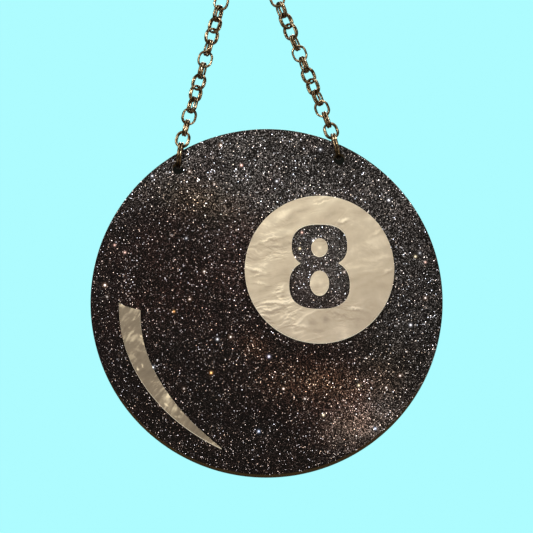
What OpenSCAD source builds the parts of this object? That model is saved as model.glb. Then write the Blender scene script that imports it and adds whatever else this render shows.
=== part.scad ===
// Wall hanging in the form of a numbered pool ball, seen flat.
//
// A round black glitter-acrylic disc carries pearl-acrylic pieces glued to its
// front: a round number plate with the figure 8 cut through it, the two
// counters of the 8, and a crescent-shaped glint. Two holes near the top take a
// pair of jump rings each, and a double-link cable chain runs from one hole to
// the other over a nail. Every chain link is a pair of oval rings side by side.
//
// Frame: millimetres, +X right, +Z up, the front faces -Y. The origin is the
// point where the nail bears on the inside of the middle link, half way between
// its rings.

/* [Disc] */
// Diameter of the round black disc
disc_d = 100; // [80:1:140]
// Thickness of the disc sheet
disc_t = 3; // [2:0.5:3]
// Diameter of each hanging hole
hole_d = 3.2; // [3.2:0.1:4]
// Height of the hanging holes above the disc centre
hole_h = 39.9; // [39.5:0.1:40.5]

/* [Pearl pieces] */
// Thickness of the pearl pieces glued to the front
pearl_t = 1.5; // [1:0.25:3]
// Diameter of the round number plate
plate_d = 42.4; // [38:0.2:46]
// Number plate centre to the right of the disc centre
plate_x = 15.07; // [10:0.1:20]
// Number plate centre above the disc centre
plate_z = 9.1; // [5:0.1:14]
// Clockwise lean of the artwork against the line of the two holes, degrees
lean = 3.3; // [0:0.1:6]

/* [Figure 8] */
// Half width of the upper lobe
top_w = 7.91; // [7:0.1:8.5]
// Half height of the upper lobe
top_h = 6.22; // [5.8:0.1:6.6]
// Centre of the upper lobe above the number plate centre
top_z = 6.88; // [6.5:0.1:7.2]
// Half width of the lower lobe
low_w = 8.62; // [8:0.1:9.4]
// Half height of the lower lobe above its centre
low_up = 7.45; // [7:0.1:7.8]
// Half height of the lower lobe below its centre
low_down = 6.88; // [6.4:0.1:7.4]
// Centre of the lower lobe below the number plate centre
low_z = 4.58; // [4.3:0.1:4.9]
// Squareness of the lobes: 2 is an ellipse and more is fuller
lobe_n = 2.5; // [2:0.1:3]
// Half width of the upper counter
eye_top_w = 2.32; // [1.8:0.1:2.8]
// Half height of the upper counter
eye_top_h = 2.61; // [2:0.1:3]
// Upper counter centre above the number plate centre
eye_top_z = 6.31; // [6:0.1:6.6]
// Half width of the lower counter
eye_low_w = 2.69; // [2.2:0.1:3.2]
// Half height of the lower counter
eye_low_h = 3.52; // [3:0.1:4]
// Lower counter centre below the number plate centre
eye_low_z = 3.95; // [3.7:0.1:4.2]

/* [Glint] */
// Left edge of the glint at its top, left of the disc centre
glint_left = 41.8; // [40:0.1:42.5]
// Width of the glint across its top
glint_top_w = 6; // [5:0.1:7]
// Lower tip of the glint, left of the disc centre
glint_tip_x = 12.2; // [10:0.1:14]
// Lower tip of the glint, below the disc centre
glint_tip_z = 42.5; // [40:0.1:43.5]

/* [Chain] */
// Wire diameter of the chain links
wire = 0.62; // [0.5:0.01:0.62]
// Outer length of a chain link
link_l = 5.1; // [5.1:0.05:5.3]
// Outer width of a chain link
link_w = 4.3; // [4.3:0.05:4.6]
// Centre distance of neighbouring links
pitch = 3.47; // [3.4:0.01:3.47]
// Slope of each chain side against the vertical, degrees
slope = 18.5; // [18.2:0.1:18.8]
// Turn of each link about the chain against the one above it, degrees
turn = 74; // [73:0.5:76]
// Gap between the two rings of a pair
pair_gap = 0.01; // [0.01:0.01:0.03]

/* [Jump rings] */
// Outer diameter of the jump rings
jump_d = 7.8; // [7.8:0.1:8]
// Wire diameter of the jump rings
jump_wire = 0.7; // [0.6:0.02:0.7]
// Slope of the jump rings against the vertical, degrees
jump_slope = 10; // [9:0.5:10.5]
// Distance from the jump ring centre to the hole centre
jump_drop = 4.15; // [4.15:0.01:4.2]

/* [Hidden] */

black_glitter = [0.07, 0.06, 0.065];
pearl = [0.86, 0.81, 0.70];
old_brass = [0.42, 0.34, 0.22];

cut_over = 1;      // how far a cut runs past each face of its sheet
side_links = 19;   // links between the middle link and each pair of jump rings
link_hook = 0.84;  // overlap of wire centre lines, middle link and first link
jump_hook = 1.04;  // overlap of wire centre lines, last link and jump rings

// Wire centre lines: radius of the round ends, and half the straight run between them
link_radius = (link_w - wire) / 2;
link_straight = (link_l - link_w) / 2;
jump_radius = (jump_d - jump_wire) / 2;

// Unit vectors up the left side of the chain and up the left jump rings
chain_up = [sin(slope), 0, cos(slope)];
jump_up = [sin(jump_slope), 0, cos(jump_slope)];

// Centres, worked out from the nail down the left side to the disc
middle_centre = [0, 0, -(link_w / 2 - wire)];
middle_left_end = middle_centre + [-link_straight, 0, 0];  // centre of its left round end
first_centre = middle_left_end
    - chain_up * (link_radius - link_hook + link_straight + link_radius);
last_centre = first_centre - chain_up * pitch * (side_links - 1);
// The line of the jump rings bends from the chain's half way through their overlap
jump_bend = last_centre - chain_up * (link_straight + link_radius - jump_hook / 2);
jump_centre = jump_bend - jump_up * (jump_radius - jump_hook / 2);
left_hole = jump_centre - jump_up * jump_drop;
disc_centre = [0, 0, left_hole[2] - hole_h];

// ---------------------------------------------------------------- flat artwork

// A superellipse with separate half heights above and below its centre.
function lobe(half_width, rise, fall, squareness, steps) = [
    for (i = [0 : steps - 1])
        let (angle = 360 * i / steps, across = cos(angle), along = sin(angle))
            [half_width * sign(across) * pow(abs(across), 2 / squareness),
             (along >= 0 ? rise : fall) * sign(along) * pow(abs(along), 2 / squareness)]
];

// A cubic curve from start up to, but without, end.
// Each pull is the offset of a control point from its own end of the curve.
function curve(start, start_pull, end_pull, end, steps) = [
    for (i = [0 : steps - 1])
        let (t = i / steps, rest = 1 - t)
            rest * rest * rest * start
            + 3 * rest * rest * t * (start + start_pull)
            + 3 * rest * t * t * (end + end_pull)
            + t * t * t * end
];

// Raises flat artwork, drawn in X and Z from the disc centre, from the disc's front face.
module on_face(thickness) {
    translate(disc_centre) rotate([0, lean, 0]) translate([0, -disc_t / 2, 0])
        rotate([90, 0, 0]) linear_extrude(height = thickness) children();
}

// A lobe on the plate's upright centre line, its centre z above the plate centre.
module plate_lobe(z, half_width, rise, fall, squareness = 2, steps = 72, thickness = pearl_t) {
    on_face(thickness) translate([plate_x, plate_z + z])
        polygon(lobe(half_width, rise, fall, squareness, steps));
}

// ---------------------------------------------------------------- disc and pearl pieces

module disc() {
    color(black_glitter) difference() {
        translate(disc_centre) rotate([90, 0, 0])
            cylinder(d = disc_d, h = disc_t, center = true, $fn = 180);
        for (side = [-1, 1])
            translate([side * left_hole[0], 0, left_hole[2]]) rotate([90, 0, 0])
                cylinder(d = hole_d, h = disc_t + 2 * cut_over, center = true, $fn = 48);
    }
}

module number_plate() {
    color(pearl) difference() {
        on_face(pearl_t) translate([plate_x, plate_z]) circle(d = plate_d, $fn = 144);
        figure_eight();
    }
}

// The solid outline of the 8, deeper than the plate it is cut from.
module figure_eight() {
    depth = pearl_t + 2 * cut_over;
    translate([0, cut_over, 0]) {
        plate_lobe(top_z, top_w, top_h, top_h, lobe_n, steps = 120, thickness = depth);
        plate_lobe(-low_z, low_w, low_up, low_down, lobe_n, steps = 120, thickness = depth);
    }
}

module upper_counter() {
    color(pearl) plate_lobe(eye_top_z, eye_top_w, eye_top_h, eye_top_h);
}

module lower_counter() {
    color(pearl) plate_lobe(-eye_low_z, eye_low_w, eye_low_h, eye_low_h);
}

// A crescent with a hollow top edge and a long tip at the bottom.
module glint() {
    top_left = [-glint_left, -0.3];
    top_right = [-glint_left + glint_top_w, -2.6];
    tip = [-glint_tip_x, -glint_tip_z];
    outer_edge = curve(top_left, [-0.6, -18], [-17.8, 8.1], tip, steps = 28);
    inner_edge = curve(tip, [-14.8, 11.6], [-0.4, -14.7], top_right, steps = 28);
    top_edge = curve(top_right, [-2.7, 0.4], [0.5, -1], top_left, steps = 10);
    color(pearl) on_face(pearl_t) polygon(concat(outer_edge, inner_edge, top_edge));
}

// ---------------------------------------------------------------- chain

// One oval wire ring in the XZ plane, long along Z; round if straight is 0.
module wire_ring(radius, straight, wire_d) {
    for (end = [0, 1]) mirror([0, 0, end]) translate([0, 0, straight])
        rotate([90, 0, 0]) rotate_extrude(angle = 180, $fn = 64)
            translate([radius, 0]) circle(d = wire_d, $fn = 24);
    if (straight > 0) for (x = [-radius, radius])
        translate([x, 0, -straight]) cylinder(d = wire_d, h = 2 * straight, $fn = 24);
}

// Places its child twice, side by side along Y, as the two rings of a pair.
module side_by_side(wire_d) {
    offset_y = (wire_d + pair_gap) / 2;
    for (y = [-offset_y, offset_y]) translate([0, y, 0]) children();
}

// The middle link, lying level over the nail.
module hanging_link() {
    color(old_brass) translate(middle_centre) side_by_side(wire)
        rotate([0, 90, 0]) wire_ring(link_radius, link_straight, wire);
}

// Link i of a side, counted down from the middle link.
module left_link(i) {
    color(old_brass) translate(first_centre - chain_up * pitch * (i - 1))
        rotate([0, slope, 0]) rotate([0, 0, 90 + turn * (i - 1)])
            side_by_side(wire) wire_ring(link_radius, link_straight, wire);
}

module right_link(i) {
    mirror([1, 0, 0]) left_link(i);
}

module left_jump_rings() {
    color(old_brass) translate(jump_centre) rotate([0, jump_slope, 0]) rotate([0, 0, 90])
        side_by_side(jump_wire) wire_ring(jump_radius, 0, jump_wire);
}

module right_jump_rings() {
    mirror([1, 0, 0]) left_jump_rings();
}

// ---------------------------------------------------------------- assembly

disc();
number_plate();
upper_counter();
lower_counter();
glint();
hanging_link();
left_link(1);  // left_link_01
left_link(2);  // left_link_02
left_link(3);  // left_link_03
left_link(4);  // left_link_04
left_link(5);  // left_link_05
left_link(6);  // left_link_06
left_link(7);  // left_link_07
left_link(8);  // left_link_08
left_link(9);  // left_link_09
left_link(10);  // left_link_10
left_link(11);  // left_link_11
left_link(12);  // left_link_12
left_link(13);  // left_link_13
left_link(14);  // left_link_14
left_link(15);  // left_link_15
left_link(16);  // left_link_16
left_link(17);  // left_link_17
left_link(18);  // left_link_18
left_link(19);  // left_link_19
right_link(1);  // right_link_01
right_link(2);  // right_link_02
right_link(3);  // right_link_03
right_link(4);  // right_link_04
right_link(5);  // right_link_05
right_link(6);  // right_link_06
right_link(7);  // right_link_07
right_link(8);  // right_link_08
right_link(9);  // right_link_09
right_link(10);  // right_link_10
right_link(11);  // right_link_11
right_link(12);  // right_link_12
right_link(13);  // right_link_13
right_link(14);  // right_link_14
right_link(15);  // right_link_15
right_link(16);  // right_link_16
right_link(17);  // right_link_17
right_link(18);  // right_link_18
right_link(19);  // right_link_19
left_jump_rings();
right_jump_rings();
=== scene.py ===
# A necklace pendant: a round sheet of black glitter acrylic carrying a pearl number 8 plate
# and a pearl crescent, hung from two chains of doubled oval brass links.
# X runs to the right, the front faces -Y and Z is up. The origin is the top of the opening of
# the hanging link, the level link in the middle that both chains hook into.
import math
import random
from functools import partial

import bpy
from mathutils import Matrix, Vector
from mathutils.geometry import tessellate_polygon


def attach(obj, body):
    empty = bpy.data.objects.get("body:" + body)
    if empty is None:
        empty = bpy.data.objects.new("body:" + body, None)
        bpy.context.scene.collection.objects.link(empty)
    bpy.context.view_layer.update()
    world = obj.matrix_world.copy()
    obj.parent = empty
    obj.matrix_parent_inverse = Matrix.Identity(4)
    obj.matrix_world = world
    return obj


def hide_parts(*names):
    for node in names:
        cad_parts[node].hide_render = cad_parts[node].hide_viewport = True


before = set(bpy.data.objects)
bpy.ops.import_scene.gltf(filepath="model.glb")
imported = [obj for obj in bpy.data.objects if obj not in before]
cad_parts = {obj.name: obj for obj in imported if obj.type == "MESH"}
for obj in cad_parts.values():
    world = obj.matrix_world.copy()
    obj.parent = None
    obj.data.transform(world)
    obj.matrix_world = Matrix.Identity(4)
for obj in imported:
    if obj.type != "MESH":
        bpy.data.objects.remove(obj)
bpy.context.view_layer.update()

MM = 0.001

# ---------------------------------------------------------------- dimensions, mm and degrees
DISC_D, DISC_T = 100.0, 3.0
DISC_R = DISC_D / 2
FRONT = -DISC_T / 2  # y of the disc's front face
HOLE_D, HOLE_H = 3.2, 39.9  # the holes' diameter and height above the disc's centre

PEARL_T = 1.5
LEAN = 3.3  # how far the pearl pieces are turned clockwise on the disc
PLATE_D, PLATE_X, PLATE_Z = 42.4, 15.07, 9.1

# lobes of the figure 8 as (half width, height above centre, depth below it, centre z)
UPPER_LOBE = (7.91, 6.22, 6.22, 6.88)
LOWER_LOBE = (8.62, 7.45, 6.88, -4.58)
LOBE_POWER = 2.5
# its oval counters as (half width, half height, centre z)
COUNTERS = {"upper_counter": (2.32, 2.61, 6.31), "lower_counter": (2.69, 3.52, -3.95)}

# corners of the crescent
GLINT_LEFT, GLINT_W = 41.8, 6.0
GLINT_TOP_LEFT = Vector((-GLINT_LEFT, -0.3))
GLINT_TOP_RIGHT = Vector((-GLINT_LEFT + GLINT_W, -2.6))
GLINT_TIP = Vector((-12.2, -42.5))
TIP_ROUND = 0.11  # diameter of the round on its lower point

WIRE, LINK_L, LINK_W = 0.62, 5.1, 4.3
LINKS, PITCH = 19, 3.47  # links in each chain and the step between them
SLOPE, TURN = 18.5, 74.0  # the chain's slope from upright and the twist from link to link
JUMP_D, JUMP_WIRE, JUMP_SLOPE = 7.8, 0.7, 10.0
JUMP_DROP = 4.15  # from the jump rings' centre to the hole's
JUMP_SPLAY = 0.35  # tilt of each jump ring away from its neighbour
GAP = 0.01  # between the two rings of a pair
# how far the centre lines of hooked wires overlap
HOOK_TOP, HOOK_JUMP = 0.84, 1.04

link_r = (LINK_W - WIRE) / 2
link_s = (LINK_L - LINK_W) / 2
jump_r = (JUMP_D - JUMP_WIRE) / 2
# rings as (centre line radius, half the straight part, wire, offset of each ring of a pair)
LINK_RING = (link_r, link_s, WIRE, (WIRE + GAP) / 2)
JUMP_RING = (jump_r, 0.0, JUMP_WIRE, (JUMP_WIRE + GAP) / 2)


def slope_up(angle):
    return Vector((math.sin(math.radians(angle)), 0, math.cos(math.radians(angle))))


# centres down the left chain, from the hanging link to the disc
chain_up, jump_up = slope_up(SLOPE), slope_up(JUMP_SLOPE)
hanging_c = Vector((0, 0, -(LINK_W / 2 - WIRE)))
hanging_end = hanging_c + Vector((-link_s, 0, 0))
first_c = hanging_end - chain_up * (link_r - HOOK_TOP + link_s + link_r)
last_c = first_c - chain_up * PITCH * (LINKS - 1)
jump_pivot = last_c - chain_up * (link_s + link_r - HOOK_JUMP / 2)
jump_c = jump_pivot - jump_up * (jump_r - HOOK_JUMP / 2)
hole_c = jump_c - jump_up * JUMP_DROP
hole_x = abs(hole_c.x)
disc_c = Vector((0, 0, hole_c.z - HOLE_H))


# ---------------------------------------------------------------- node builder
class Nodes:
    """Makes and links the nodes of one shader tree."""

    def __init__(self, tree, output):
        self.tree = tree
        tree.nodes.clear()
        self.out = tree.nodes.new(output)

    def put(self, socket, value):
        """Link or set one input. A colour may leave out its alpha."""
        if isinstance(value, bpy.types.NodeSocket):
            self.tree.links.new(value, socket)
        elif isinstance(value, bpy.types.Node):
            self.tree.links.new(value.outputs[0], socket)
        elif socket.type == "RGBA" and len(value) == 3:
            socket.default_value = (*value, 1)
        else:
            socket.default_value = value

    def node(self, kind, inputs=None, **props):
        node = self.tree.nodes.new(kind)
        for name, value in props.items():
            setattr(node, name, value)
        for key, value in (inputs or {}).items():
            self.put(node.inputs[key], value)
        return node

    def surface(self, shader):
        self.put(self.out.inputs["Surface"], shader)

    def principled(self, **inputs):
        named = {key.replace("_", " "): value for key, value in inputs.items()}
        self.surface(self.node("ShaderNodeBsdfPrincipled", named))

    # numbers
    def math(self, operation, a, b=0.0, c=0.0, clamp=False):
        inputs = {0: a, 1: b, 2: c}
        return self.node("ShaderNodeMath", inputs, operation=operation, use_clamp=clamp).outputs[0]

    def add(self, a, b):
        return self.math("ADD", a, b)

    def sub(self, a, b):
        return self.math("SUBTRACT", a, b)

    def mul(self, a, b):
        return self.math("MULTIPLY", a, b)

    def madd(self, a, b, c):
        return self.math("MULTIPLY_ADD", a, b, c)

    def power(self, a, b):
        return self.math("POWER", a, b)

    def maximum(self, a, b):
        return self.math("MAXIMUM", a, b)

    def minimum(self, a, b):
        return self.math("MINIMUM", a, b)

    def weighted(self, start, terms):
        """start plus every (value, weight) term."""
        for value, weight in terms:
            start = self.madd(value, weight, start)
        return start

    def falloff(self, squared, width=1.0):
        """1 at zero, falling as a bell, from a squared distance."""
        return self.math("EXPONENT", self.mul(squared, -1.0 / width ** 2))

    def bell(self, value, width=1.0):
        return self.falloff(self.mul(value, value), width)

    def remap(self, value, start, end, low=0.0, high=1.0, kind="LINEAR"):
        """low at start, high at end and clamped beyond."""
        inputs = dict(enumerate((value, start, end, low, high)))
        return self.node("ShaderNodeMapRange", inputs, interpolation_type=kind, clamp=True).outputs[0]

    def smooth(self, value, start, end, low=0.0, high=1.0):
        return self.remap(value, start, end, low, high, kind="SMOOTHSTEP")

    # vectors
    def vector(self, operation, *operands):
        node = self.node("ShaderNodeVectorMath", dict(enumerate(operands)), operation=operation)
        is_number = operation in ("LENGTH", "DOT_PRODUCT", "DISTANCE")
        return node.outputs["Value" if is_number else "Vector"]

    def vadd(self, a, b):
        return self.vector("ADD", a, b)

    def vsub(self, a, b):
        return self.vector("SUBTRACT", a, b)

    def vmul(self, a, b):
        return self.vector("MULTIPLY", a, b)

    def dot(self, a, b):
        return self.vector("DOT_PRODUCT", a, b)

    def distance(self, a, b):
        return self.vector("DISTANCE", a, b)

    def scale(self, a, factor):
        inputs = {0: a, "Scale": factor}
        return self.node("ShaderNodeVectorMath", inputs, operation="SCALE").outputs["Vector"]

    def combine(self, x, y, z):
        return self.node("ShaderNodeCombineXYZ", {0: x, 1: y, 2: z}).outputs[0]

    # colours and textures
    def channels(self, color):
        return self.node("ShaderNodeSeparateColor", {0: color}).outputs

    def mix(self, factor, a, b, blend="MIX"):
        return self.node("ShaderNodeMix", {0: factor, 6: a, 7: b},
                         data_type="RGBA", blend_type=blend, clamp_factor=True).outputs[2]

    def tinted(self, color, tint):
        return self.mix(1.0, color, tint, "MULTIPLY")

    def ramp(self, factor, stops):
        node = self.node("ShaderNodeValToRGB", {0: factor})
        elements = node.color_ramp.elements
        while len(elements) < len(stops):
            elements.new(0.5)
        for element, (position, color) in zip(elements, stops):
            element.position = position
            element.color = (*color, 1)
        return node.outputs["Color"]

    def noise(self, vector, scale, detail=2.0, rough=0.5, distort=0.0, output="Fac"):
        return self.node("ShaderNodeTexNoise", {
            "Vector": vector, "Scale": scale, "Detail": detail,
            "Roughness": rough, "Distortion": distort,
        }).outputs[output]

    def bump(self, height, strength, distance):
        inputs = {"Strength": strength, "Distance": distance, "Height": height}
        return self.node("ShaderNodeBump", inputs)


class Material(Nodes):
    """A new node material, with its place in object space in metres and in millimetres."""

    def __init__(self, name):
        self.material = bpy.data.materials.new(name)
        self.material.use_nodes = True
        super().__init__(self.material.node_tree, "ShaderNodeOutputMaterial")
        self.coord = self.node("ShaderNodeTexCoord").outputs["Object"]
        self.mm = self.scale(self.coord, 1000.0)

    def facing(self, low, high):
        """1 on the sheet's front and back, 0 on its cut edge."""
        normal = self.node("ShaderNodeTexCoord").outputs["Normal"]
        return self.smooth(self.math("ABSOLUTE", self.dot(normal, (0, 1, 0))), low, high)

    def from_disc(self):
        """The place in millimetres from the disc's centre."""
        return self.vsub(self.mm, tuple(disc_c))


# ---------------------------------------------------------------- glitter acrylic
# painted glints, emitted: the largest flares by tint, each (u, v, strength): u right and v up from
# the disc's centre in mm, turned with the pearl pieces
FLARES = {
    (0.66, 0.76, 1.0): ((-4.3, -37.0, 2.6), (28.6, -38.1, 2.6)),
    (0.86, 0.8, 1.0): ((-0.2, -15.8, 3.2),),
    (0.95, 0.93, 1.0): (
        (36.4, 27.2, 2.8), (40.4, -9.1, 2.8), (4.9, 34.6, 2.0), (-14.5, -10.0, 2.2),
    ),
    (1.0, 0.5, 0.18): ((-16.8, -19.5, 3.6), (-26.4, -1.3, 1.8)),
    (1.0, 0.62, 0.52): (
        (-4.9, 39.8, 3.4), (-39.4, 16.5, 2.2), (11.2, 19.3, 2.2), (-42.2, 18.8, 1.8),
        (45.7, 8.7, 1.8),
    ),
    (1.0, 0.84, 0.56): (
        (43.0, 10.5, 2.4), (24.7, -25.5, 2.4), (14.2, -33.4, 2.6), (10.3, 14.7, 2.4),
    ),
}
FLARE_R = 0.34
SHINE_LIMIT = 0.85  # shine above this is emitted instead of reflected


def soft_oval(mat, u, v, centre_u, centre_v, long, short, angle=0):
    """A soft oval cloud, 1 at its middle, from its centre, two radii in mm and turn."""
    c, s = math.cos(math.radians(angle)), math.sin(math.radians(angle))
    du, dv = mat.sub(u, centre_u), mat.sub(v, centre_v)
    a = mat.add(mat.mul(du, c / long), mat.mul(dv, s / long))
    b = mat.add(mat.mul(du, -s / short), mat.mul(dv, c / short))
    return mat.falloff(mat.add(mat.mul(a, a), mat.mul(b, b)))


def flake_layer(mat, per_mm, radius, share, seed):
    """(mask, random channels, random colour) of flakes filling a share of random cells."""
    place = mat.vadd(mat.scale(mat.mm, per_mm), (seed, seed * 1.7, seed * 0.6))
    cells = mat.node("ShaderNodeTexVoronoi", {"Vector": place, "Scale": 1.0, "Randomness": 1.0},
                     voronoi_dimensions="3D", feature="F1")
    color = cells.outputs["Color"]
    channels = mat.channels(color)
    held = mat.math("LESS_THAN", channels[2], share)
    mask = mat.mul(mat.remap(cells.outputs["Distance"], radius, radius * 0.6), held)
    return mask, channels, color


def flare_light(mat, at, u, v):
    """Painted glints, emitted: the few large flakes that face the light squarely, random ones, then
    FLARES.
    """
    spot = mat.combine(mat.mul(u, 0.27), mat.mul(v, 0.27), 0.0)
    cells = mat.node(
        "ShaderNodeTexVoronoi",
        {"Vector": mat.vadd(spot, (7.3, 2.9, 0.0)), "Scale": 1.0, "Randomness": 1.0},
        voronoi_dimensions="2D", feature="F1")
    channels = mat.channels(cells.outputs["Color"])
    held = mat.math("LESS_THAN", channels[2], 0.045)
    squared = mat.mul(cells.outputs["Distance"], cells.outputs["Distance"])
    core = mat.falloff(squared, width=0.060)
    painted_glow = mat.falloff(squared, width=0.16)
    strength = mat.mul(held, mat.madd(mat.power(channels[0], 2.0), 3.6, 0.9))
    halo_color = mat.ramp(channels[1], [
        (0.0, (1.0, 0.45, 0.16)), (0.35, (1.0, 0.68, 0.50)),
        (0.60, (0.95, 0.92, 1.0)), (1.0, (0.62, 0.72, 1.0)),
    ])
    core_color = mat.mix(0.25, (1.0, 1.0, 1.0), halo_color)
    light = mat.vadd(mat.scale(core_color, mat.mul(strength, core)),
                     mat.scale(halo_color, mat.mul(strength, mat.mul(painted_glow, 0.055))))
    flat = mat.vmul(at, (1, 0, 1))
    for tint, flares in FLARES.items():
        level = 0.0
        for flare_u, flare_v, gain in flares:
            near = mat.mul(mat.distance(flat, (flare_u, 0, flare_v)), 1 / FLARE_R)
            level = mat.madd(mat.power(mat.madd(near, near, 1.0), -2.8), gain, level)
        light = mat.vadd(light, mat.scale(tint, level))
    return light


def glitter_material():
    """Black acrylic with silver flakes at several depths, painted reflections and emitted painted
    glints, and a bare brown-black cut edge with a painted glow.
    """
    mat = Material("black_glitter_acrylic")
    normal = mat.node("ShaderNodeNewGeometry").outputs["Normal"]
    face = mat.facing(0.55, 0.90)
    lean = math.radians(LEAN)
    at = mat.from_disc()
    u = mat.dot(at, (math.cos(lean), 0, -math.sin(lean)))
    v = mat.dot(at, (math.sin(lean), 0, math.cos(lean)))
    oval = partial(soft_oval, mat, u, v)

    # clouds of painted reflection, named by their place or colour
    top = mat.smooth(mat.madd(u, 0.12, v), 8.0, 36.0)
    side = mat.smooth(u, 15.0, 38.0)
    brown = mat.maximum(oval(15.0, -23.0, 20.0, 7.5, -6), oval(-3.0, -13.5, 6.0, 4.0, -40))
    grey = oval(24.0, -35.5, 12.0, 8.0, 8)
    olive = oval(-19.0, 29.0, 13.0, 5.5, -15)
    figure = oval(15.0, 9.5, 13.0, 14.0)

    # haze: where flakes lie thicker and flatter, and so brighter
    # painted reflections: soft clouds of room light on the gloss, painted as brighter flakes and
    # depth
    painted_reflection = mat.weighted(-0.42, (
        (mat.smooth(v, -25.0, 10.0), 0.30),
        (mat.maximum(mat.mul(top, 1.22), mat.mul(side, 0.76)), 1.0),
        (brown, 1.28),
        (grey, 1.86),
        (oval(20.0, 40.0, 9.0, 7.0), -0.45),
        (oval(-26.0, 24.0, 9.0, 8.0), -0.28),
        (oval(-16.0, -22.0, 14.0, 9.0), -0.25),
        (olive, 0.30),
        (figure, 1.00),
        (oval(-10.0, 11.0, 5.0, 12.0), 0.45),
    ))
    painted_reflection_noise = mat.noise(mat.mm, scale=0.22, detail=4.0, rough=0.62)
    painted_reflection = mat.add(painted_reflection, mat.remap(painted_reflection_noise, 0.25, 0.75, low=-0.36, high=0.36))

    # how red the depth between the flakes is, less under the top, side and figure painted reflections
    # and more in the brown one
    red = mat.weighted(0.52, (
        (mat.maximum(top, side), -0.52),
        (oval(-28.0, 3.0, 15.0, 11.0, 20), 0.36),
        (brown, 0.60),
        (figure, -0.5),
        (oval(-26.0, 24.0, 10.0, 9.0), 0.22),
    ))
    red_noise = mat.noise(mat.mm, scale=0.09, detail=3.0, rough=0.55)
    red = mat.math("ADD", red, mat.remap(red_noise, 0.3, 0.7, low=-0.16, high=0.16), clamp=True)

    def grow(dark, bright):
        """A level that rises evenly, as a ratio, from painted reflection 0 to painted reflection 1.
        """
        return mat.mul(mat.power(bright / dark, painted_reflection), dark)

    # levels of the dull flakes, and the painted sparkle of the bright few among them and the larger
    # glints
    fine_mask, fine, fine_color = flake_layer(mat, per_mm=3.5, radius=0.49, share=1.01, seed=3.1)
    mid_mask, mid, mid_color = flake_layer(mat, per_mm=2.6, radius=0.30, share=0.118, seed=11.7)
    dull = mat.mul(mat.power(fine[0], 1.25), grow(0.088, 0.330))
    bright = mat.mul(mat.power(fine[0], 36.0), grow(1.9, 2.4))
    glint = mat.mul(mat.mul(mat.power(mid[0], 3.3), grow(5.2, 9.5)), mid_mask)
    shine = mat.maximum(mat.mul(bright, fine_mask), glint)

    # tints of the depth and of the shine, both yellower in some painted reflection clouds
    yellow = mat.maximum(
        mat.maximum(mat.mul(brown, 0.9), mat.mul(oval(34.0, -20.0, 9.0, 9.0), 0.8)),
        mat.maximum(olive, mat.mul(grey, 0.62)))
    deep_tint = mat.mix(red, (0.97, 0.95, 1.0), (1.0, 0.42, 0.38))
    deep_tint = mat.mix(yellow, deep_tint, mat.mix(0.5, deep_tint, (1.0, 0.72, 0.38)))
    shine_tint = mat.mix(red, (0.97, 1.0, 1.10), (1.0, 0.88, 0.90))
    shine_tint = mat.mix(yellow, shine_tint, mat.mix(0.6, shine_tint, (1.0, 0.84, 0.62)))
    shine_tint = mat.tinted(shine_tint, mat.ramp(mat.mix(mid_mask, fine[1], mid[1]), [
        (0.0, (1.0, 0.80, 0.62)), (0.25, (1.0, 0.96, 0.92)),
        (0.75, (0.97, 0.98, 1.0)), (1.0, (0.80, 0.88, 1.0)),
    ]))

    flakes = mat.vadd(mat.scale(deep_tint, mat.mul(dull, fine_mask)),
                      mat.scale(shine_tint, mat.minimum(shine, SHINE_LIMIT)))
    body = mat.scale(deep_tint, grow(0.0015, 0.0036))
    # painted sheen: a faint glow added to the colour over the figure and in the grey painted
    # reflection
    grey_painted_sheen = mat.mul(mat.mul(grey, mat.maximum(painted_reflection, 0.0)), 0.006)
    painted_sheen = mat.madd(figure, 0.017, grey_painted_sheen)
    base = mat.vadd(mat.vadd(body, flakes), mat.scale(deep_tint, painted_sheen))
    over = mat.maximum(mat.sub(shine, SHINE_LIMIT), 0.0)
    glowing = mat.vadd(flare_light(mat, at, u, v), mat.scale(shine_tint, over))

    # painted light: a narrow band of the front at the lower rim loses its flakes and takes the cut
    # edge's colour and painted glow
    radius = mat.vector("LENGTH", mat.vmul(at, (1, 0, 1)))
    lit_rim_band = mat.mul(mat.smooth(radius, DISC_R - 0.62, DISC_R - 0.30),
                    mat.smooth(v, -14.0, -40.0))
    face = mat.mul(face, mat.sub(1.0, lit_rim_band))
    mask = mat.mul(mat.minimum(shine, 1.0), face)
    tilt = mat.vsub(mat.mix(mid_mask, fine_color, mid_color), (0.5, 0.5, 0.5))
    tilt = mat.scale(mat.scale(tilt, 0.40), mask)
    saw_place = mat.node("ShaderNodeMapping", {"Vector": mat.mm, "Scale": (6.0, 0.5, 6.0)})
    saw_marks = mat.noise(saw_place, scale=1.0, detail=3.0, rough=0.6)
    edge = mat.ramp(saw_marks, [(0.3, (0.010, 0.006, 0.0015)), (0.7, (0.022, 0.014, 0.004))])
    mat.principled(
        Base_Color=mat.mix(face, edge, base),
        Metallic=mat.mul(mask, 0.25),
        Roughness=0.5,
        Specular_IOR_Level=0.04,
        Normal=mat.vector("NORMALIZE", mat.vadd(normal, tilt)),
        Coat_Weight=mat.remap(face, 0.0, 1.0, low=0.30, high=1.0),
        Coat_Roughness=mat.remap(face, 0.0, 1.0, low=0.30, high=0.06),
        Coat_IOR=1.33,
        Coat_Normal=mat.bump(mat.noise(mat.mm, scale=0.25), strength=0.04, distance=0.0002),
        # painted glow on the cut edge and the lower rim band, and emitted painted glints on the face
        Emission_Color=mat.mix(face, (0.0140, 0.0082, 0.0018), glowing),
        Emission_Strength=1.0,
    )
    return mat.material


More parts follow.
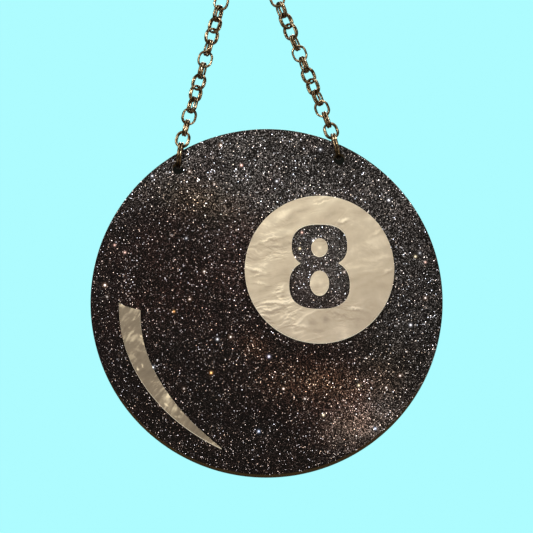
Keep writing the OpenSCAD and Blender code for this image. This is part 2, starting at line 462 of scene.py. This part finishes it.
# ---------------------------------------------------------------- pearl acrylic
# painted relief light and shade over real folds of pigment: folds as (from u, v, to u, v, width,
# strength) and painted spots as (u, v, radius, strength), with u right and v up from the disc's
# centre in mm
PLATE_FOLDS = (
    (-3.5, 16.6, 7.0, 18.6, 0.40, 0.30), (-0.4, 21.3, 11.5, 27.3, 1.30, 0.12),
    (21.0, 21.6, 25.0, 22.1, 0.45, 0.38), (19.8, 28.0, 14.8, 27.1, 0.30, 0.24),
    (-5.2, 9.8, 0.9, 8.2, 0.42, 0.34), (-4.0, 7.2, 0.6, 8.0, 0.30, 0.30),
    (-3.9, 5.5, 0.2, 5.1, 0.30, 0.28), (-2.0, 0.0, 5.2, -0.6, 0.42, 0.34),
    (-1.0, -2.8, 3.4, -2.2, 0.34, 0.26), (23.0, -3.2, 27.6, -3.9, 0.42, 0.36),
    (4.6, -6.8, 13.8, -8.5, 0.60, 0.20), (33.2, 6.2, 36.4, 7.2, 0.45, 0.26),
    (30.8, 17.2, 34.6, 18.9, 0.55, 0.20),
)
PLATE_PAINTED_SPOTS = (
    (15.9, 14.7, 0.75, 0.32), (17.9, 16.5, 1.1, -0.18), (14.6, 12.6, 0.9, 0.14),
    (12.3, -6.9, 1.3, -0.24), (16.2, -6.4, 1.2, -0.16), (14.4, 3.3, 0.8, -0.16),
)
GLINT_FOLDS = (
    (-40.9, -5.6, -36.0, -1.2, 0.50, 0.10), (-40.4, -8.6, -36.6, -4.4, 0.45, 0.09),
    (-38.6, -2.6, -35.6, -0.2, 0.40, 0.10),
)
GLINT_PAINTED_SPOTS = (
    (-35.8, -8.1, 0.34, 0.34), (-35.5, -10.2, 0.46, 0.40), (-36.1, -9.2, 0.75, 0.10),
    (-35.9, -16.6, 0.32, 0.30), (-37.4, -17.3, 0.36, 0.34), (-29.1, -25.5, 0.42, 0.40),
    (-30.3, -28.1, 0.38, 0.34), (-27.4, -29.4, 0.80, 0.13), (-25.8, -30.2, 0.32, 0.20),
    (-37.6, -2.6, 0.60, 0.12), (-39.0, -5.2, 0.60, 0.12), (-40.9, 1.2, 0.70, 0.30),
    (-35.7, -3.0, 0.45, 0.24), (-37.9, -13.8, 0.50, 0.08), (-29.3, -26.6, 0.70, 0.08),
)


def grain_axes(mat, at, angle, along, across):
    """Places along and across a grain direction, each times its own frequency."""
    c, s = math.cos(math.radians(angle)), math.sin(math.radians(angle))
    return mat.mul(mat.dot(at, (c, 0, s)), along), mat.mul(mat.dot(at, (-s, 0, c)), across)


def grain_relief(mat, bent, seed, angle, along, across, shift, detail, rough, distort):
    """(relief, height): height is a long soft noise, relief its rise over a shift across it."""
    c, s = math.cos(math.radians(angle)), math.sin(math.radians(angle))
    heights = []
    for side in (-0.5, 0.5):
        shifted = mat.vadd(bent, (-s * shift * side, 0, c * shift * side))
        a, b = grain_axes(mat, shifted, angle, along, across)
        place = mat.combine(a, b, seed + along * 31.0)
        heights.append(mat.noise(place, 1.0, detail, rough, distort))
    return mat.sub(heights[0], heights[1]), heights[1]


def add_ridges(mat, light, at, bent, u, seed, relief, angle, on_plate):
    """A few long thin ridges that catch the light along their length."""
    a, b = grain_axes(mat, bent, angle, along=0.030, across=0.115)
    offset = mat.sub(mat.noise(mat.combine(a, b, seed * 2.3), scale=1.0), 0.5)
    ridge = mat.bell(offset, width=0.012)
    shade = mat.bell(mat.sub(offset, 0.020), width=0.016)
    shown = mat.smooth(mat.noise(mat.vadd(at, (seed, 0, 9.0)), scale=0.09), 0.44, 0.60)
    if on_plate:
        shown = mat.mul(shown, mat.smooth(u, 10.0, 30.0, low=1.0, high=0.30))
    lit = mat.mul(mat.sub(ridge, mat.mul(shade, 0.7)), shown)
    return mat.madd(lit, 0.13 * relief, light)


def add_fold(mat, light, wavy, u0, v0, u1, v1, width, gain):
    """One fold: lit along its upper flank, shaded under it, fading out at both ends."""
    length = math.hypot(u1 - u0, v1 - v0)
    c, s = (u1 - u0) / length, (v1 - v0) / length
    mid_u, mid_v = (u0 + u1) / 2, (v0 + v1) / 2
    fade_share = 0.42  # share of the length over which it fades
    along = (c / length / fade_share, 0, s / length / fade_share)
    reach = mat.add(mat.dot(wavy, along), -(c * mid_u + s * mid_v) / length / fade_share)
    rise = mat.add(mat.dot(wavy, (-s / width, 0, c / width)), (s * mid_u - c * mid_v) / width)
    fade = mat.mul(mat.bell(reach), gain)
    flanks = mat.madd(mat.bell(mat.add(rise, 1.5)), -0.65, mat.bell(rise))
    return mat.madd(flanks, fade, light)


def painted_plate_shading(mat, color, u, v):
    """Painted shading: darker to the right and below, lighter above."""
    for place, start, end, tint in (
        (u, 12.0, 37.0, (0.86, 0.85, 0.85)),
        (v, 8.0, -11.0, (0.875, 0.865, 0.885)),
        (v, 12.0, 28.0, (1.09, 1.10, 1.10)),
    ):
        color = mat.mix(mat.smooth(place, start, end), color, mat.tinted(color, tint))
    return color


def pearl_material(name, tones, edge, seed, relief, painted_glow, broad, weights,
                   folds, painted_spots, turn=0.0, clotted=0.0):
    """Pearl acrylic: folds of pigment drawn as soft relief in painted light and shade, and a
    translucent cut edge with a painted glow.

    broad shapes the widest folds, weights are the (broad, crease) relief strengths and
    clotted is the share of pale clots. The plate, with none, gets painted shading across instead."""
    mat = Material(name)
    on_plate = not clotted
    face = mat.facing(0.45, 0.85)
    at = mat.from_disc()
    u = mat.dot(at, (1, 0, 0))
    v = mat.dot(at, (0, 0, 1))
    centred = (0.5, 0.5, 0.5)
    drift = mat.noise(mat.vadd(at, (seed, 0, 0)), scale=0.055, output="Color")
    drift = mat.scale(mat.vsub(drift, centred), 11.0)
    bent = mat.vadd(at, mat.vmul(drift, (0.6, 0.0, 1.0)))

    grain = partial(grain_relief, mat, bent, seed)
    broad, broad_height = grain(angle=14 + turn, detail=2.0, distort=0.3, **broad)
    crease, crease_height = grain(angle=7 + turn, along=0.13, across=0.85, shift=0.30,
                                  detail=3.0, rough=0.58, distort=0.25)
    dimple, _ = grain(angle=-6 + turn, along=0.40, across=0.95, shift=0.34,
                      detail=3.0, rough=0.62, distort=0.3)

    # creases are strongest to the lower left, and show in patches
    rim = mat.smooth(mat.dot(at, (-0.90, 0, -0.42)), -8.0, 9.0, low=0.22, high=1.0)
    patch = mat.noise(mat.vadd(at, (3.0, 0, seed)), scale=0.13, detail=3.0, rough=0.55)
    patch = mat.smooth(patch, 0.44, 0.64, low=0.18, high=1.35)
    if on_plate:
        rightward = mat.dot(at, (0.92, 0, 0.39))
        patch = mat.mul(patch, mat.smooth(rightward, 6.0, 30.0, low=1.15, high=0.22))
    broad_weight, crease_weight = weights
    light = mat.mul(broad, broad_weight * relief)
    light = mat.madd(mat.mul(crease, mat.mul(rim, patch)), crease_weight * relief, light)
    light = mat.madd(mat.mul(dimple, patch), 0.75 * relief, light)
    light = add_ridges(mat, light, at, bent, u, seed, relief, 19 + turn, on_plate)

    wobble = mat.noise(mat.vadd(at, (0, 7.0, seed)), scale=0.42, detail=3.0, rough=0.6,
                       output="Color")
    wobble = mat.scale(mat.vsub(wobble, centred), 2.4)
    wavy = mat.vmul(mat.vadd(at, wobble), (1, 0, 1))
    for fold in folds:
        light = add_fold(mat, light, wavy, *fold)
    # painted spots of relief light, and of painted shade where the strength is below zero
    for spot_u, spot_v, width, gain in painted_spots:
        away = mat.distance(wavy, (spot_u, 0, spot_v))
        light = mat.madd(mat.bell(away, width), gain, light)

    mottle = mat.noise(mat.vadd(bent, (seed, 5, 0)), scale=0.13, detail=4.0, rough=0.6)
    tone = mat.madd(mat.sub(mottle, 0.5), 0.80, mat.add(light, 0.5))
    color = mat.ramp(tone, list(zip((0.22, 0.42, 0.56, 0.82), tones)))
    if on_plate:
        color = painted_plate_shading(mat, color, u, v)
    else:
        clot = mat.noise(mat.vadd(mat.mm, (seed + 2.0, 0, 3.0)), scale=0.62, rough=0.55,
                         distort=0.3)
        clot = mat.smooth(clot, 0.60, 0.74)
        cloud = mat.noise(mat.vadd(mat.mm, (seed, 6.0, 0)), scale=0.20)
        cloud = mat.smooth(cloud, 0.46, 0.60)
        color = mat.mix(mat.mul(mat.mul(clot, cloud), clotted), color, tones[3])
    height = mat.madd(crease_height, 0.3, broad_height)
    mat.principled(
        Base_Color=mat.mix(face, edge, color),
        Metallic=mat.mul(face, 0.15),
        Roughness=0.42,
        Normal=mat.bump(height, strength=0.16, distance=0.0004),
        Coat_Weight=0.6,
        Coat_Roughness=0.12,
        Coat_IOR=1.45,
        Subsurface_Weight=0.10,
        Subsurface_Radius=(1.0, 0.8, 0.5),
        Subsurface_Scale=0.0010,
        # painted glow on the cut edge
        Emission_Color=edge,
        Emission_Strength=mat.remap(face, 0.0, 1.0, low=painted_glow, high=0.0),
    )
    return mat.material


# ---------------------------------------------------------------- brass
def brass_material(name, seed, shade_in_hole=False):
    """Antiqued brass wire: dark brown patina in patches, rubbed bright on the high spots."""
    mat = Material(name)
    at = mat.vadd(mat.mm, (seed, seed * 0.3, -seed))
    patches = mat.noise(at, scale=0.8, detail=4.0, rough=0.6, distort=0.4)
    grain = mat.noise(at, scale=6.0, detail=3.0, rough=0.6)
    wear = mat.add(mat.mul(patches, 0.75), mat.mul(grain, 0.25))
    color = mat.ramp(wear, [
        (0.39, (0.050, 0.031, 0.014)), (0.49, (0.165, 0.122, 0.068)),
        (0.57, (0.44, 0.36, 0.24)), (0.66, (0.92, 0.85, 0.68)),
    ])
    if shade_in_hole:
        # painted shade: the rings through the disc are darkened where they pass through the hole
        mirrored = mat.vector("ABSOLUTE", mat.mm)
        from_hole = mat.distance(mirrored, (hole_x, 0.0, abs(hole_c.z)))
        dark = mat.tinted(color, (0.07, 0.06, 0.05))
        color = mat.mix(mat.smooth(from_hole, 1.7, 4.6), dark, color)
    mat.principled(
        Base_Color=color,
        Metallic=mat.remap(wear, 0.34, 0.46, low=0.80, high=1.0),
        Roughness=mat.remap(wear, 0.38, 0.65, low=0.40, high=0.20),
        Normal=mat.bump(grain, strength=0.25, distance=0.00006),
    )
    return mat.material


GLITTER = glitter_material()
PEARL = pearl_material(
    "pearl_acrylic",
    tones=((0.355, 0.315, 0.245), (0.485, 0.437, 0.340), (0.555, 0.511, 0.405),
           (0.86, 0.81, 0.66)),
    edge=(0.95, 0.88, 0.70), seed=4.0, relief=1.0, painted_glow=0.62,
    broad=dict(along=0.045, across=0.17, shift=1.3, rough=0.45), weights=(0.85, 2.3),
    folds=PLATE_FOLDS, painted_spots=PLATE_PAINTED_SPOTS,
)
# the crescent's pearl is the plate's acrylic, with darker tones as painted shade
PEARL_GLINT_SHADED = pearl_material(
    "pearl_acrylic_glint",
    tones=((0.112, 0.094, 0.066), (0.150, 0.127, 0.091), (0.186, 0.159, 0.115),
           (0.70, 0.64, 0.48)),
    edge=(0.95, 0.86, 0.66), seed=17.0, relief=0.32, painted_glow=0.78,
    broad=dict(along=0.15, across=0.46, shift=0.5, rough=0.5), weights=(1.5, 0.7),
    folds=GLINT_FOLDS, painted_spots=GLINT_PAINTED_SPOTS, turn=34.0, clotted=0.35,
)
BRASS = [brass_material(f"antique_brass_{i}", 13.7 * i) for i in range(4)]
BRASS_SHADED_IN_HOLE = brass_material("antique_brass_shaded_in_hole", 61.0, shade_in_hole=True)


# ---------------------------------------------------------------- outlines, in x and z
def circle(x, z, radius, count):
    angles = [2 * math.pi * i / count for i in range(count)]
    return [Vector((x + radius * math.cos(a), z + radius * math.sin(a))) for a in angles]


def lobe(width, up, down, power, x, z, count=1440):
    """A superellipse with its own half height above and below its centre."""
    points = []
    for i in range(count):
        angle = 2 * math.pi * i / count
        c, s = math.cos(angle), math.sin(angle)
        height = up if s >= 0 else down
        points.append(Vector((x, z)) + Vector((
            width * math.copysign(abs(c) ** (2 / power), c),
            height * math.copysign(abs(s) ** (2 / power), s))))
    return points


def lobe_half_width(shape, z):
    width, up, down, centre = shape
    height = up if z >= centre else down
    rest = 1 - (abs(z - centre) / height) ** LOBE_POWER
    return width * rest ** (1 / LOBE_POWER) if rest > 0 else 0.0


def bezier(start, control_a, control_b, end, steps):
    points = []
    for i in range(steps):
        t = i / steps
        u = 1 - t
        points.append(start * (u * u * u) + control_a * (3 * u * u * t)
                      + control_b * (3 * u * t * t) + end * (t * t * t))
    return points


def wound(loop, counter_clockwise=True):
    """The loop in the wanted direction."""
    area = sum(a.x * b.y - b.x * a.y for a, b in zip(loop, loop[1:] + loop[:1])) / 2
    return loop if (area > 0) == counter_clockwise else loop[::-1]


def resample(loop, count):
    """The closed loop again with evenly spaced points, keeping its corners."""
    n = len(loop)
    spans = [(loop[(i + 1) % n] - loop[i]).length for i in range(n)]

    def is_corner(i):
        before = (loop[i] - loop[i - 1]).normalized()
        return before.dot((loop[(i + 1) % n] - loop[i]).normalized()) < 0.9

    corners = [i for i in range(n) if is_corner(i)] or [0]
    step = sum(spans) / count
    points = []
    for first, last in zip(corners, corners[1:] + [corners[0] + n]):
        length = sum(spans[i % n] for i in range(first, last))
        pieces = max(1, round(length / step))
        i, done = first, 0.0
        for piece in range(pieces):
            want = length * piece / pieces
            while done + spans[i % n] < want - 1e-9:
                done += spans[i % n]
                i += 1
            share = min(max((want - done) / max(spans[i % n], 1e-12), 0.0), 1.0)
            points.append(loop[i % n].lerp(loop[(i + 1) % n], share))
    return points


def figure_outline():
    """The figure 8, counter-clockwise, with its two sharp waist corners."""
    # the waist is where the narrowing lower lobe meets the widening upper one
    low, high = LOWER_LOBE[3] + 0.2, UPPER_LOBE[3] - 0.2
    for _ in range(60):
        z = (low + high) / 2
        if lobe_half_width(LOWER_LOBE, z) > lobe_half_width(UPPER_LOBE, z):
            low = z
        else:
            high = z
    waist = (low + high) / 2
    waist_x = lobe_half_width(UPPER_LOBE, waist)

    def arc(shape, side):
        """The part of a lobe above (side 1) or below (side -1) the waist."""
        width, up, down, centre = shape
        points = [p for p in lobe(width, up, down, LOBE_POWER, 0, centre)
                  if (p.y > waist + 0.01 if side > 0 else p.y < waist - 0.01)]
        start = -side * math.pi / 2
        points.sort(key=lambda p: (math.atan2(p.y - centre, p.x) - start) % (2 * math.pi))
        return points

    loop = [Vector((waist_x, waist))] + arc(UPPER_LOBE, 1)
    loop += [Vector((-waist_x, waist))] + arc(LOWER_LOBE, -1)
    return [p + Vector((PLATE_X, PLATE_Z)) for p in loop]


def glint_outline():
    """The crescent, counter-clockwise, with a tiny round on its lower point."""
    top_left, top_right, tip = GLINT_TOP_LEFT, GLINT_TOP_RIGHT, GLINT_TIP
    left = bezier(top_left, top_left + Vector((-0.6, -18)), tip + Vector((-17.8, 8.1)), tip, 400)
    right = bezier(tip, tip + Vector((-14.8, 11.6)), top_right + Vector((-0.4, -14.7)),
                   top_right, 400)
    top = bezier(top_right, top_right + Vector((-2.7, 0.4)), top_left + Vector((0.5, -1)),
                 top_left, 40)
    # stop both sides where they are TIP_ROUND apart and join them with an arc
    for i in range(len(left) - 1, 0, -1):
        a = left[i]
        b = min(right[::-1], key=lambda p: (p - a).length)
        if (a - b).length > TIP_ROUND:
            break
    centre, radius = (a + b) / 2, (a - b).length / 2
    start = math.atan2(a.y - centre.y, a.x - centre.x)
    angles = [start + math.pi * k / 6 for k in range(1, 6)]
    arc = [centre + Vector((math.cos(angle), math.sin(angle))) * radius for angle in angles]
    return left[2:i + 1] + arc + right[right.index(b):] + top[:-1]


# ---------------------------------------------------------------- pieces cut from sheet
def mitres(loop):
    """(outward direction, mitre length) at each point, for material on the loop's left."""
    n, result = len(loop), []
    for i in range(n):
        before = (loop[i] - loop[i - 1]).normalized()
        after = (loop[(i + 1) % n] - loop[i]).normalized()
        normal_a, normal_b = Vector((before.y, -before.x)), Vector((after.y, -after.x))
        middle = normal_a + normal_b
        middle = middle.normalized() if middle.length > 1e-6 else normal_a
        result.append((middle, min(1.0 / max(middle.dot(normal_a), 0.2), 2.2)))
    return result


def cap_faces(verts, loops, faces_back):
    """Triangles that close one face of a sheet, from the vertex numbers of its loops."""
    numbers = [i for loop in loops for i in loop]
    faces = []
    for triangle in tessellate_polygon(
            [[Vector((verts[i][0], verts[i][2], 0)) for i in loop] for loop in loops]):
        a, b, c = (numbers[i] for i in triangle)
        flat_a, flat_b, flat_c = (Vector((verts[i][0], verts[i][2])) for i in (a, b, c))
        # counter-clockwise in X and Z faces -Y
        if ((flat_b - flat_a).cross(flat_c - flat_a) > 0) == faces_back:
            a, c = c, a
        faces.append((a, b, c))
    return faces


def add_mesh(name, verts, faces):
    mesh = bpy.data.meshes.new(name)
    mesh.from_pydata(verts, [], faces)
    for polygon in mesh.polygons:
        polygon.use_smooth = True
    return mesh


def add_object(name, mesh):
    obj = bpy.data.objects.new(name, mesh)
    bpy.context.scene.collection.objects.link(obj)
    return obj


def tell_frame(obj, rides, node):
    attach(obj, rides)
    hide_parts(node)


def sheet(node, name, loops, y_front, y_back, bevel, place, material, slot):
    """A closed sheet with rounded arrises: a counter-clockwise outline, then clockwise holes."""
    steps = 4
    profile = []  # (inset, y, facing as outward and y parts) from the front to the back
    for k in range(steps + 1):
        a = math.pi / 2 * k / steps
        facing = Vector((math.sin(a), -math.cos(a)))
        profile.append((bevel * (1 - math.sin(a)), y_front + bevel * (1 - math.cos(a)), facing))
    profile += [(inset, y_back - (y - y_front), Vector((facing.x, -facing.y)))
                for inset, y, facing in profile[::-1]]
    verts, faces, normals, front_loops, back_loops = [], [], [], [], []
    for loop in loops:
        n, outward, start = len(loop), mitres(loop), len(verts)
        for inset, y, facing in profile:
            for point, (direction, mitre) in zip(loop, outward):
                moved = point - direction * inset * mitre
                verts.append((moved.x, y, moved.y))
                normals.append(Vector((direction.x * facing.x, facing.y,
                                       direction.y * facing.x)).normalized())
        for ring in range(len(profile) - 1):
            near, far = start + ring * n, start + (ring + 1) * n
            for i in range(n):
                j = (i + 1) % n
                faces.append((near + i, far + i, far + j, near + j))
        front_loops.append([start + i for i in range(n)])
        back_loops.append([start + (len(profile) - 1) * n + i for i in range(n)])
    faces += cap_faces(verts, front_loops, False) + cap_faces(verts, back_loops, True)

    mesh = add_mesh(name, [place @ (Vector(v) * MM) for v in verts], faces)
    mesh.validate()
    turn = place.to_3x3()
    mesh.normals_split_custom_set_from_vertices([(turn @ v).normalized() for v in normals])
    mesh.update()
    mesh.materials.append(material)
    tell_frame(add_object(name, mesh), "disc", node)


disc_place = Matrix.Translation(disc_c * MM)
pearl_sheet = partial(
    sheet, y_front=FRONT - PEARL_T, y_back=FRONT,
    place=disc_place @ Matrix.Rotation(math.radians(LEAN), 4, "Y"), slot="pearl_acrylic",
)
holes = [circle(x, HOLE_H, HOLE_D / 2, 96)[::-1] for x in (-hole_x, hole_x)]
sheet("disc", "disc_glitter_sheet", [circle(0, 0, DISC_R, 512)] + holes,
      y_front=FRONT, y_back=-FRONT, bevel=0.10, place=disc_place,
      material=GLITTER, slot="black_glitter_acrylic")
pearl_sheet(
    "number_plate", "number_plate_pearl",
    [circle(PLATE_X, PLATE_Z, PLATE_D / 2, 320), wound(resample(figure_outline(), 300), False)],
    bevel=0.09, material=PEARL)
for counter, (width, height, z) in COUNTERS.items():
    oval_loop = lobe(width, height, height, 2, PLATE_X, PLATE_Z + z)
    pearl_sheet(counter, counter + "_pearl", [wound(resample(oval_loop, 96))],
                bevel=0.09, material=PEARL)
pearl_sheet("glint", "glint_pearl", [wound(resample(glint_outline(), 360))],
            bevel=0.045, material=PEARL_GLINT_SHADED)


# ---------------------------------------------------------------- wire rings
RING_STATIONS, WIRE_SIDES = 88, 18
# extra stations each side of the butt joint, mm
SEAM_STATIONS = (-0.14, -0.08, -0.045, -0.018, 0.0, 0.018, 0.045, 0.08, 0.14)
SEAM_CLEAR, SEAM_WIDTH, SEAM_DEPTH = 0.16, 0.045, 0.30
rng = random.Random(20)


def ring_point(travel, radius, straight):
    """(centre line point, outward direction) some way round an oval ring in the XZ plane."""
    arc = math.pi * radius
    end_z = straight / 2
    travel %= 2 * straight + 2 * arc
    for side in (1, -1):  # the upper end and left side, then the lower end and right side
        if travel < arc:
            a = travel / radius + (0 if side > 0 else math.pi)
            out = Vector((math.cos(a), 0, math.sin(a)))
            point = (radius * math.cos(a), 0, side * end_z + radius * math.sin(a))
            return Vector(point), out
        travel -= arc
        if travel < straight or side < 0:
            return Vector((-side * radius, 0, side * (end_z - travel))), Vector((-side, 0, 0))
        travel -= straight


def signed_volume(mesh):
    mesh.calc_loop_triangles()
    volume = 0
    for triangle in mesh.loop_triangles:
        a, b, c = (mesh.vertices[i].co for i in triangle.vertices)
        volume += a.dot(b.cross(c))
    return volume


def wire_ring(name, radius, half_straight, wire, place, bow, bow_side):
    """One oval ring, long along its own Z, closed by a butt joint that shows as a groove.

    bow is how far it is sprung out of its plane on the side bow_side."""
    straight = 2 * half_straight
    total = 2 * straight + 2 * math.pi * radius
    seam = rng.uniform(0.06, 0.44) * total + (total / 2 if rng.random() < 0.5 else 0)
    stations = [total * i / RING_STATIONS for i in range(RING_STATIONS)]
    stations = [x for x in stations if abs(x - seam) > SEAM_CLEAR]
    stations += [seam + x for x in SEAM_STATIONS]
    stations.sort()
    first_angle = rng.uniform(0, 6.28)
    # the fourth draw only keeps the random sequence in step
    wave_a, wave_b, wave_c, _ = [rng.uniform(0, 6.28) for _ in range(4)]
    verts, faces = [], []
    for x in stations:
        centre, out = ring_point(x, radius, straight)
        share = (bow_side * centre.x + radius) / (2 * radius)
        centre = centre + Vector((0, bow * share ** 9, 0))
        pinch = 1 - SEAM_DEPTH * math.exp(-((abs(x - seam) / SEAM_WIDTH) ** 2))
        t = 2 * math.pi * x / total
        thin = 0.985 + 0.006 * math.sin(3 * t + wave_a) + 0.005 * math.sin(7 * t + wave_b)
        for k in range(WIRE_SIDES):
            f = 2 * math.pi * k / WIRE_SIDES + first_angle
            reach = wire / 2 * pinch * thin * (1 + 0.004 * math.sin(2 * f + wave_c + 5 * t))
            offset = Vector((0, 1, 0)) * reach * math.sin(f)
            verts.append(place @ ((centre + out * reach * math.cos(f) + offset) * MM))
    count = len(stations)
    for i in range(count):
        near, far = i * WIRE_SIDES, (i + 1) % count * WIRE_SIDES
        for k in range(WIRE_SIDES):
            after = (k + 1) % WIRE_SIDES
            faces.append((near + k, near + after, far + after, far + k))
    mesh = add_mesh(name, verts, faces)
    mesh.update()
    if signed_volume(mesh) < 0:
        mesh.flip_normals()
    return add_object(name, mesh)


def ring_pair(node, ring, centre, slope, turn, mirror=False, sprung=False):
    """Two rings side by side. Sprung ones each bow away from the other on one side."""
    radius, half_straight, wire, apart = ring
    bow_side = rng.choice((-1, 1))
    for tag, aside in (("front", -1), ("back", 1)):
        bow = aside * rng.uniform(0.03, 0.12)  # drawn for every ring, used or not
        place = (Matrix.Translation(centre * MM)
                 @ Matrix.Rotation(math.radians(slope), 4, "Y")
                 @ Matrix.Rotation(math.radians(turn), 4, "Z"))
        if mirror:
            place = Matrix.Scale(-1, 4, Vector((1, 0, 0))) @ place
        if ring is JUMP_RING:
            # the rings through the disc open at the top, away from the hole
            place = (place @ Matrix.Translation(Vector((0, 0, -radius)) * MM)
                     @ Matrix.Rotation(-aside * math.radians(JUMP_SPLAY), 4, "X")
                     @ Matrix.Translation(Vector((0, 0, radius)) * MM))
        place = place @ Matrix.Translation(Vector((0, aside * apart, 0)) * MM)
        obj = wire_ring(f"{node}_ring_{tag}", radius, half_straight, wire, place,
                        bow if sprung else 0.0, bow_side)
        brass = BRASS[rng.randrange(len(BRASS))]
        obj.data.materials.append(BRASS_SHADED_IN_HOLE if ring is JUMP_RING else brass)
        tell_frame(obj, node, node)


ring_pair("hanging_link", LINK_RING, hanging_c, slope=90, turn=0)
for side, mirror in (("left", False), ("right", True)):
    for i in range(LINKS):
        ring_pair(f"{side}_link_{i + 1:02d}", LINK_RING, first_c - chain_up * PITCH * i,
                  SLOPE, 90 + TURN * i, mirror, sprung=True)
    ring_pair(f"{side}_jump_rings", JUMP_RING, jump_c, JUMP_SLOPE, 90, mirror)

# ---------------------------------------------------------------- view
VIEW_WIDTH = 152.2  # mm across the picture at the disc, before ZOOM
ZOOM = 1.006
AIM_RISE = 9.96582  # mm from the disc's centre up to the middle of the picture
SENSOR = 36.0
DISTANCE = 1.4
pitch, roll = math.radians(10.0), math.radians(-3.3)

forward = Vector((0, math.cos(pitch), math.sin(pitch)))
level_up = Vector((0, -math.sin(pitch), math.cos(pitch)))
right = Vector((1, 0, 0)) * math.cos(roll) + level_up * math.sin(roll)
upward = Vector((-1, 0, 0)) * math.sin(roll) + level_up * math.cos(roll)
aim = (disc_c + Vector((0, FRONT, 0))) * MM + upward * AIM_RISE * MM
eye = aim - forward * DISTANCE

scene = bpy.context.scene
scene.view_settings.view_transform = "Standard"
scene.view_settings.look = "None"

# ---------------------------------------------------------------- world and floor
BACKGROUND = (0.423, 0.973, 1.0)
BEYOND_HOLES = (0.0070, 0.0078, 0.0065)
FLOOR_DROP, FLOOR_HALF = 0.32, 12.0  # metres below the disc, and half the floor's side


def build_world():
    """A pale backdrop, dark behind the two holes, over a dim warm light."""
    world = bpy.data.worlds.new("studio")
    scene.world = world
    world.use_nodes = True
    nodes = Nodes(world.node_tree, "ShaderNodeOutputWorld")
    way = nodes.node("ShaderNodeTexCoord").outputs["Generated"]
    behind = []
    for x in (-hole_x, hole_x):
        through = (Vector((x, 0, hole_c.z)) * MM - eye).normalized()
        reach = (HOLE_D / 2 + 0.5) * MM / DISTANCE
        behind.append(nodes.node("ShaderNodeMath", {0: nodes.distance(way, through), 1: reach},
                                 operation="LESS_THAN"))
    dark = nodes.node("ShaderNodeMath", dict(enumerate(behind)), operation="MAXIMUM")
    room = nodes.mix(dark, BACKGROUND, BEYOND_HOLES)
    seen = nodes.node("ShaderNodeBackground", {0: room, 1: 1.0})
    lit = nodes.node("ShaderNodeBackground", {0: (1.0, 0.84, 0.68), 1: 0.08})
    is_camera = nodes.node("ShaderNodeLightPath").outputs["Is Camera Ray"]
    nodes.surface(nodes.node("ShaderNodeMixShader", {0: is_camera, 1: lit, 2: seen}))


def floor_material():
    """Pale and fading into the backdrop as seen, but dull in the light it throws back."""
    mat = Material("pale_floor")
    color = mat.ramp(mat.noise(mat.coord, scale=3.0, detail=3.0),
                     [(0.3, (0.40, 0.86, 0.88)), (0.7, (0.43, 0.90, 0.92))])
    body = mat.node("ShaderNodeBsdfDiffuse", {"Color": color})
    far = mat.node("ShaderNodeEmission", {"Color": BACKGROUND, "Strength": 1.0})
    is_camera = mat.node("ShaderNodeLightPath").outputs["Is Camera Ray"]
    away = mat.vector("LENGTH", mat.coord)
    fade = mat.mul(is_camera, mat.smooth(away, 0.8, 2.6, low=0.35, high=1.0))
    seen = mat.node("ShaderNodeMixShader", {0: fade, 1: body, 2: far})
    dull = mat.node("ShaderNodeBsdfDiffuse", {"Color": (0.30, 0.26, 0.21)})
    mat.surface(mat.node("ShaderNodeMixShader", {0: is_camera, 1: dull, 2: seen}))
    return mat.material


def build_floor():
    z = (disc_c.z - DISC_R) * MM - FLOOR_DROP
    corners = [(x * FLOOR_HALF, y * FLOOR_HALF, z) for x, y in ((-1, -1), (1, -1), (1, 1), (-1, 1))]
    mesh = bpy.data.meshes.new("floor")
    mesh.from_pydata(corners, [], [(0, 1, 2, 3)])
    floor = add_object("floor", mesh)
    mesh.materials.append(floor_material())


build_world()
build_floor()


# ---------------------------------------------------------------- lights and camera
def softbox(name, x, y, rise, size, power, color):
    """A disk light at a height above the disc's centre, in metres, aimed at that centre."""
    target = Vector((0, 0, disc_c.z * MM))
    place = Vector((x, y, target.z + rise))
    light = bpy.data.lights.new(name, "AREA")
    light.shape = "DISK"
    light.size = size
    light.energy = power
    light.color = color
    obj = add_object(name, light)
    obj.location = place
    obj.rotation_mode = "QUATERNION"
    obj.rotation_quaternion = (target - place).to_track_quat("-Z", "Y")


softbox("key", x=-0.55, y=-1.25, rise=0.45, size=0.45, power=14.0, color=(1.0, 0.90, 0.78))
softbox("fill", x=0.80, y=-1.20, rise=-0.20, size=0.3, power=6.0, color=(1.0, 0.92, 0.84))
softbox("top", x=0.1, y=-0.35, rise=1.1, size=0.5, power=8.0, color=(1.0, 0.95, 0.88))
softbox("back", x=0.3, y=1.2, rise=0.8, size=0.7, power=8.0, color=(1.0, 0.96, 0.92))

camera_data = bpy.data.cameras.new("camera")
camera_data.sensor_width = SENSOR
camera_data.lens = SENSOR * DISTANCE / (VIEW_WIDTH * MM) * ZOOM
camera_data.clip_start = 0.05
camera_data.clip_end = 60
camera = add_object("camera", camera_data)
axes = Matrix((right, upward, -forward)).transposed()
camera.matrix_world = Matrix.Translation(eye) @ axes.to_4x4()
scene.camera = camera
